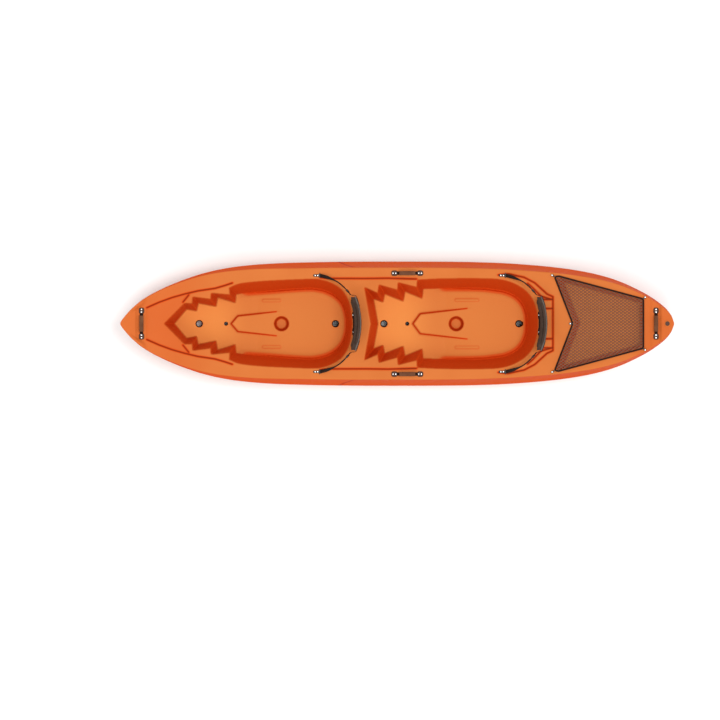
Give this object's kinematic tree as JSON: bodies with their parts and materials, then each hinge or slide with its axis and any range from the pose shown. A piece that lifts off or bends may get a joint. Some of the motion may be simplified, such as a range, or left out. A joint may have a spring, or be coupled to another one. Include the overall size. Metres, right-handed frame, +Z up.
{
  "type": "kayak",
  "caption": "Tandem sit-on-top kayak: hollow moulded hull with stepped foot wells, cup holders, scuppers, folding padded seat backs, carry handles, covered stern well and drain plug.",
  "frame": {"origin": "centre of the whole object in plan, at the underside of the keel plank", "axes": "+X towards the stern, +Y to starboard, +Z up"},
  "size_m": [3.592, 0.8074, 0.477],
  "materials": {
    "hull_plastic": "satin",
    "foam": "matte",
    "stainless": "satin",
    "seat_fabric": "matte",
    "seat_panel": "matte",
    "black_plastic": "satin",
    "grip_rubber": "matte",
    "net_mesh": "matte",
    "elastic_cord": "matte",
    "drain_plastic": "satin",
    "seal_rubber": "matte",
    "webbing": "matte"
  },
  "bodies": {
    "hull": {"back_hinge_screws": "stainless", "bow_handle_cap_a": "black_plastic", "bow_handle_cap_b": "black_plastic", "bow_handle_grip": "grip_rubber", "bow_handle_strap": "webbing", "drain_socket": "drain_plastic", "foam_block_bow": "foam", "foam_block_middle": "foam", "foam_block_stern": "foam", "front_back_hinge": "webbing", "front_strap_eye_port": "black_plastic", "front_strap_eye_starboard": "black_plastic", "front_strap_port": "webbing", "front_strap_starboard": "webbing", "handle_screws": "stainless", "hull": "hull_plastic", "port_handle_cap_a": "black_plastic", "port_handle_cap_b": "black_plastic", "port_handle_grip": "grip_rubber", "port_handle_strap": "webbing", "rear_back_hinge": "webbing", "rear_strap_eye_port": "black_plastic", "rear_strap_eye_starboard": "black_plastic", "rear_strap_port": "webbing", "rear_strap_starboard": "webbing", "starboard_handle_cap_a": "black_plastic", "starboard_handle_cap_b": "black_plastic", "starboard_handle_grip": "grip_rubber", "starboard_handle_strap": "webbing", "stern_handle_cap_a": "black_plastic", "stern_handle_cap_b": "black_plastic", "stern_handle_grip": "grip_rubber", "stern_handle_strap": "webbing", "strap_eye_screws": "stainless", "tank_net": "net_mesh", "tank_net_cord": "elastic_cord", "tank_net_hook_screws": "stainless", "tank_net_hooks": "black_plastic"},
    "front_back": {"front_back_lip": "seat_fabric", "front_back_pad": "seat_fabric", "front_back_panel": "seat_panel", "front_buckle_port": "black_plastic", "front_buckle_starboard": "black_plastic"},
    "rear_back": {"rear_back_lip": "seat_fabric", "rear_back_pad": "seat_fabric", "rear_back_panel": "seat_panel", "rear_buckle_port": "black_plastic", "rear_buckle_starboard": "black_plastic"},
    "drain_gasket": {"drain_gasket": "seal_rubber"},
    "drain_plug": {"drain_plug": "drain_plastic"}
  },
  "joints": [
    {"name": "front_back_tilt", "type": "hinge", "parent": "hull", "child": "front_back", "pos_m": [-0.279, 0, 0.314], "axis": [0, -1, 0], "range_deg": [0, 55], "deforming": ["front_strap_port", "front_strap_starboard"]},
    {"name": "rear_back_tilt", "type": "hinge", "parent": "hull", "child": "rear_back", "pos_m": [0.926, 0, 0.314], "axis": [0, -1, 0], "range_deg": [0, 55], "deforming": ["rear_strap_port", "rear_strap_starboard"]},
    {"name": "drain_rise", "type": "slide", "parent": "hull", "child": "drain_gasket", "axis": [0, 0, 1], "range_m": [0, 0.012]},
    {"name": "drain_turn", "type": "hinge", "parent": "drain_gasket", "child": "drain_plug", "pos_m": [1.7529, 0, 0.34], "axis": [0, 0, 1], "range_deg": [0, 1080]}
  ],
  "couplings": [
    {"joint": "drain_turn", "follows": "drain_rise", "rad_per_m": 1570.8}
  ]
}
